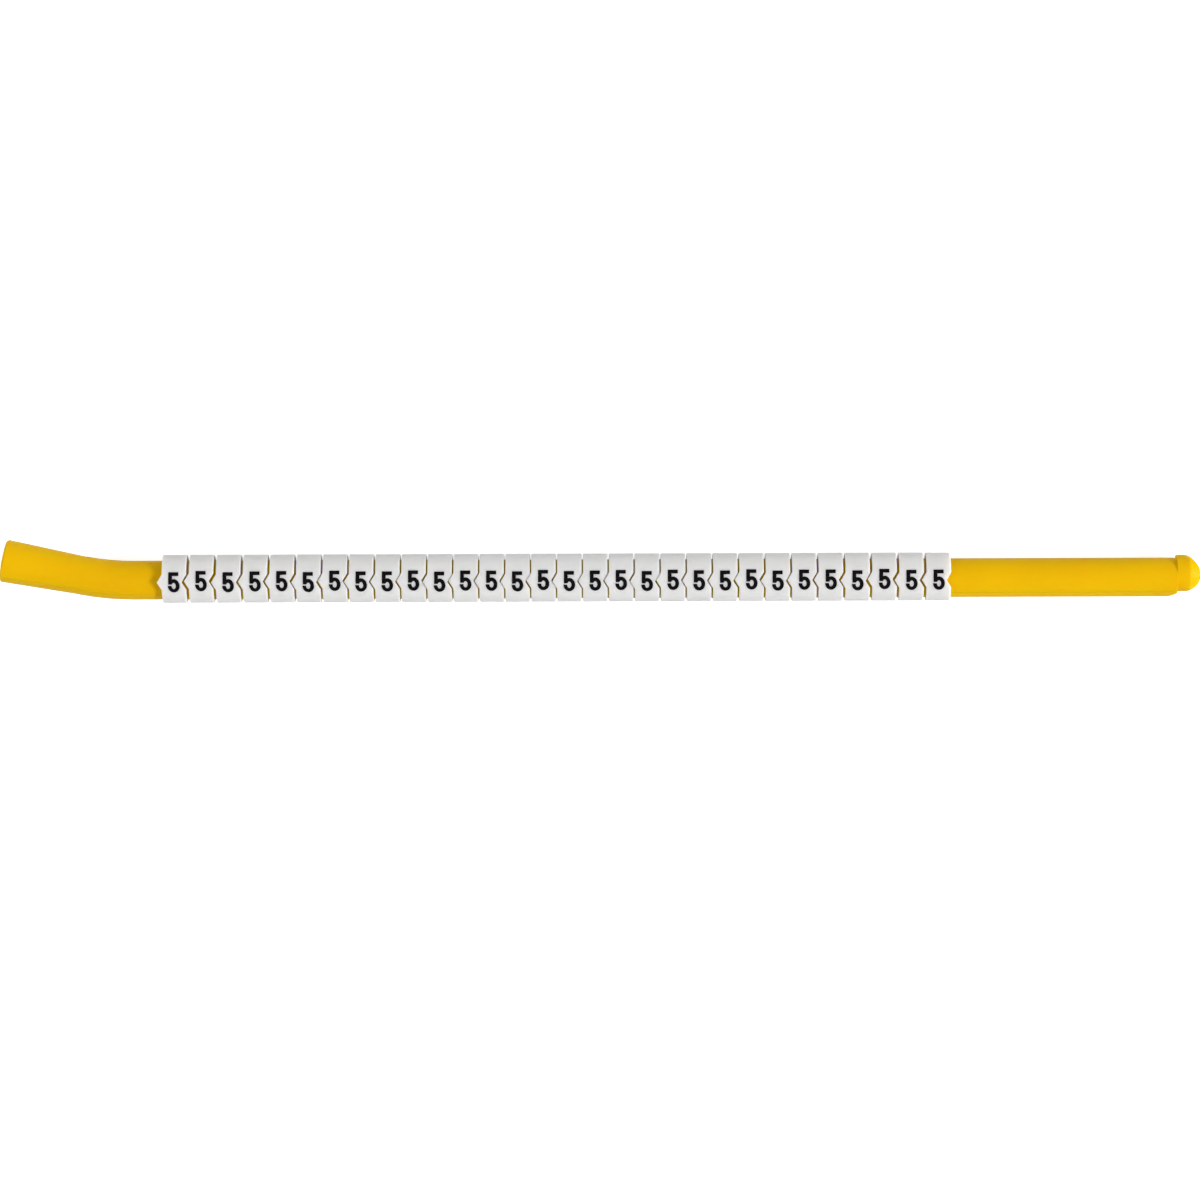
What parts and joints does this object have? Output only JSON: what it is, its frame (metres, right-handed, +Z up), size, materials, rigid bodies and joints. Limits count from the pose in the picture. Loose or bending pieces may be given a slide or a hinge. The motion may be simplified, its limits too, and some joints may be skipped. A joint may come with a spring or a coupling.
{
  "type": "cable marker",
  "caption": "Row of white C-shaped cable marker clips, keyed by chevron teeth, on a slit yellow loading wand with a bent handle and an open nose that takes the wire.",
  "frame": {"origin": "on the axis of the wand's wire channel, at the shoulder behind the nose", "axes": "+X along the channel and out of the nose, +Z up with the legends on top and the clips' mouths down, the bent handle turns towards +Y"},
  "size_m": [0.1817, 0.0097, 0.007],
  "materials": {
    "wand_plastic": "satin yellow PVC",
    "marker_plastic": "satin white acetal",
    "legend_ink": "matt black print"
  },
  "bodies": {
    "wand": {"wand": "wand_plastic"},
    "marker_row": {"marker_01": "marker_plastic", "marker_02": "marker_plastic", "marker_03": "marker_plastic", "marker_04": "marker_plastic", "marker_05": "marker_plastic", "marker_06": "marker_plastic", "marker_07": "marker_plastic", "marker_08": "marker_plastic", "marker_09": "marker_plastic", "marker_10": "marker_plastic", "marker_11": "marker_plastic", "marker_12": "marker_plastic", "marker_13": "marker_plastic", "marker_14": "marker_plastic", "marker_15": "marker_plastic", "marker_16": "marker_plastic", "marker_17": "marker_plastic", "marker_18": "marker_plastic", "marker_19": "marker_plastic", "marker_20": "marker_plastic", "marker_21": "marker_plastic", "marker_22": "marker_plastic", "marker_23": "marker_plastic", "marker_24": "marker_plastic", "marker_25": "marker_plastic", "marker_26": "marker_plastic", "marker_27": "marker_plastic", "marker_28": "marker_plastic", "marker_29": "marker_plastic", "marker_30": "marker_plastic"}
  },
  "joints": [
    {"name": "marker_slide", "type": "slide", "parent": "wand", "child": "marker_row", "axis": [1, 0, 0], "range_m": [-0.0041, 0.034]}
  ]
}
